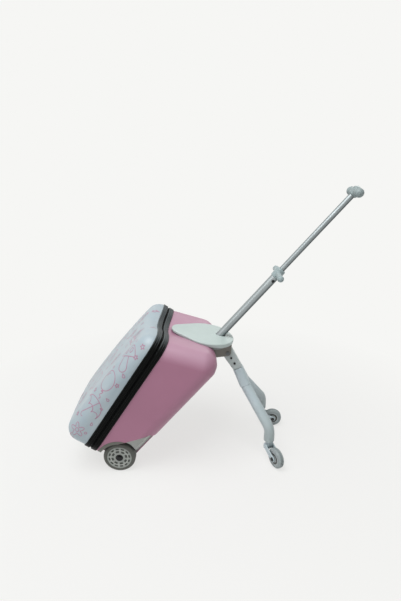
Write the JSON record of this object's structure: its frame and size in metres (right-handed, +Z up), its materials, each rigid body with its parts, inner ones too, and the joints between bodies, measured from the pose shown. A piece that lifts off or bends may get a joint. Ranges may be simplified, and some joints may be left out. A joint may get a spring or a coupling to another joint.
{
  "type": "ride-on suitcase",
  "caption": "Child's hard-shell suitcase that rides on wheels: leaning case with a seat, telescopic mast with grips and a fold-out caster leg.",
  "frame": {"origin": "on the ground, under the middle of the whole object's box", "axes": "+X forward in riding direction, +Y to the rider's left, +Z up"},
  "size_m": [0.8454, 0.3414, 0.8348],
  "materials": {
    "pink_shell": "gloss",
    "white_shell": "gloss",
    "black_trim": "ribbed matte",
    "zipper": "woven tape and moulded teeth",
    "lining_fabric": "woven",
    "seat_white": "satin",
    "seat_base": "satin",
    "tube_metal": "satin anodised",
    "bush_plastic": "matte",
    "white_plastic": "satin",
    "grey_plastic": "satin",
    "black_steel": "black oxide",
    "black_plastic": "matte",
    "wheel_tyre": "smoky translucent",
    "wheel_hub": "satin"
  },
  "bodies": {
    "case": {"rear_shell": "pink_shell", "rear_trim": "black_trim", "rear_zipper": "zipper", "hinge_tape": "lining_fabric", "seat_base": "seat_base", "seat": "seat_white", "seat_screws": "black_steel", "mast_guide_tube": "tube_metal", "mast_collar": "seat_white", "mast_socket": "bush_plastic", "leg_bracket": "grey_plastic", "bracket_screws": "black_steel", "leg_pivot_bolt": "black_steel", "wheel_housing_left": "grey_plastic", "wheel_housing_right": "grey_plastic", "rear_axle_left": "black_steel", "rear_axle_right": "black_steel"},
    "lid": {"front_shell": "white_shell", "front_trim": "black_trim", "front_zipper": "zipper"},
    "mast_lower": {"lower_tube": "tube_metal", "lower_bush": "bush_plastic", "child_grip": "white_plastic"},
    "snap_button": {"snap_button": "black_plastic"},
    "mast_upper": {"upper_tube": "tube_metal", "upper_bush": "bush_plastic", "pull_handle": "white_plastic"},
    "handle_button": {"handle_button": "white_plastic"},
    "leg": {"leg_arm": "grey_plastic", "arm_screws": "black_steel", "leg_yoke": "white_plastic", "leg_left": "white_plastic", "leg_right": "white_plastic"},
    "caster_right": {"caster_fork_right": "white_plastic", "caster_axle_right": "black_steel"},
    "front_wheel_right": {"front_wheel_right_tyre": "wheel_tyre", "front_wheel_right_hub": "wheel_hub"},
    "rear_wheel_right": {"rear_wheel_right_tyre": "wheel_tyre", "rear_wheel_right_hub": "wheel_hub"},
    "caster_left": {"caster_fork_left": "white_plastic", "caster_axle_left": "black_steel"},
    "front_wheel_left": {"front_wheel_left_tyre": "wheel_tyre", "front_wheel_left_hub": "wheel_hub"},
    "rear_wheel_left": {"rear_wheel_left_tyre": "wheel_tyre", "rear_wheel_left_hub": "wheel_hub"},
    "slider_lower": {"zipper_slider_lower": "black_steel"},
    "pull_lower": {"zipper_pull_lower": "black_steel"},
    "slider_upper": {"zipper_slider_upper": "black_steel"},
    "pull_upper": {"zipper_pull_upper": "black_steel"}
  },
  "joints": [
    {"name": "lid_hinge", "type": "hinge", "parent": "case", "child": "lid", "pos_m": [-0.23935, -0.1675, 0.25316], "axis": [0.5446, 0, 0.8387], "range_deg": [0, 110]},
    {"name": "zipper_slide_lower", "type": "slide", "parent": "case", "child": "slider_lower", "axis": [0.5446, 0, 0.8387], "range_m": [-0.07, 0]},
    {"name": "pull_swing_lower", "type": "hinge", "parent": "slider_lower", "child": "pull_lower", "pos_m": [-0.2844, 0.1739, 0.1838], "axis": [0.8387, 0, -0.5446], "range_deg": [0, 150]},
    {"name": "zipper_slide_upper", "type": "slide", "parent": "case", "child": "slider_upper", "axis": [0.5446, 0, 0.8387], "range_m": [0, 0.19]},
    {"name": "pull_swing_upper", "type": "hinge", "parent": "slider_upper", "child": "pull_upper", "pos_m": [-0.25825, 0.1739, 0.22406], "axis": [0.8387, 0, -0.5446], "range_deg": [0, 150]},
    {"name": "mast_lower_slide", "type": "slide", "parent": "case", "child": "mast_lower", "axis": [0.6508, 0, 0.7593], "range_m": [-0.21, 0]},
    {"name": "mast_upper_slide", "type": "slide", "parent": "mast_lower", "child": "mast_upper", "axis": [0.6508, 0, 0.7593], "range_m": [-0.25, 0]},
    {"name": "snap_press", "type": "slide", "parent": "mast_lower", "child": "snap_button", "axis": [0, 1, 0], "range_m": [0, 0.0016], "stiffness_N_per_m": 600, "springref_m": -0.002},
    {"name": "handle_button_press", "type": "slide", "parent": "mast_upper", "child": "handle_button", "axis": [-0.6508, 0, -0.7593], "range_m": [0, 0.0025], "stiffness_N_per_m": 400, "springref_m": -0.002},
    {"name": "leg_fold", "type": "hinge", "parent": "case", "child": "leg", "pos_m": [0.06632, 0, 0.33149], "axis": [0, 1, 0], "range_deg": [0, 46]},
    {"name": "caster_swivel_right", "type": "hinge", "parent": "leg", "child": "caster_right", "pos_m": [0.19572, -0.093, 0.07], "axis": [0, 0, 1], "continuous": true},
    {"name": "front_wheel_right_roll", "type": "hinge", "parent": "caster_right", "child": "front_wheel_right", "pos_m": [0.21433, -0.12953, 0.031], "axis": [0.891, 0.454, 0], "continuous": true},
    {"name": "caster_swivel_left", "type": "hinge", "parent": "leg", "child": "caster_left", "pos_m": [0.19572, 0.093, 0.07], "axis": [0, 0, 1], "continuous": true},
    {"name": "front_wheel_left_roll", "type": "hinge", "parent": "caster_left", "child": "front_wheel_left", "pos_m": [0.23662, 0.09014, 0.031], "axis": [0.0698, 0.9976, 0], "continuous": true},
    {"name": "rear_wheel_right_roll", "type": "hinge", "parent": "case", "child": "rear_wheel_right", "pos_m": [-0.26352, -0.138, 0.0485], "axis": [0, 1, 0], "continuous": true},
    {"name": "rear_wheel_left_roll", "type": "hinge", "parent": "case", "child": "rear_wheel_left", "pos_m": [-0.26352, 0.138, 0.0485], "axis": [0, 1, 0], "continuous": true}
  ]
}
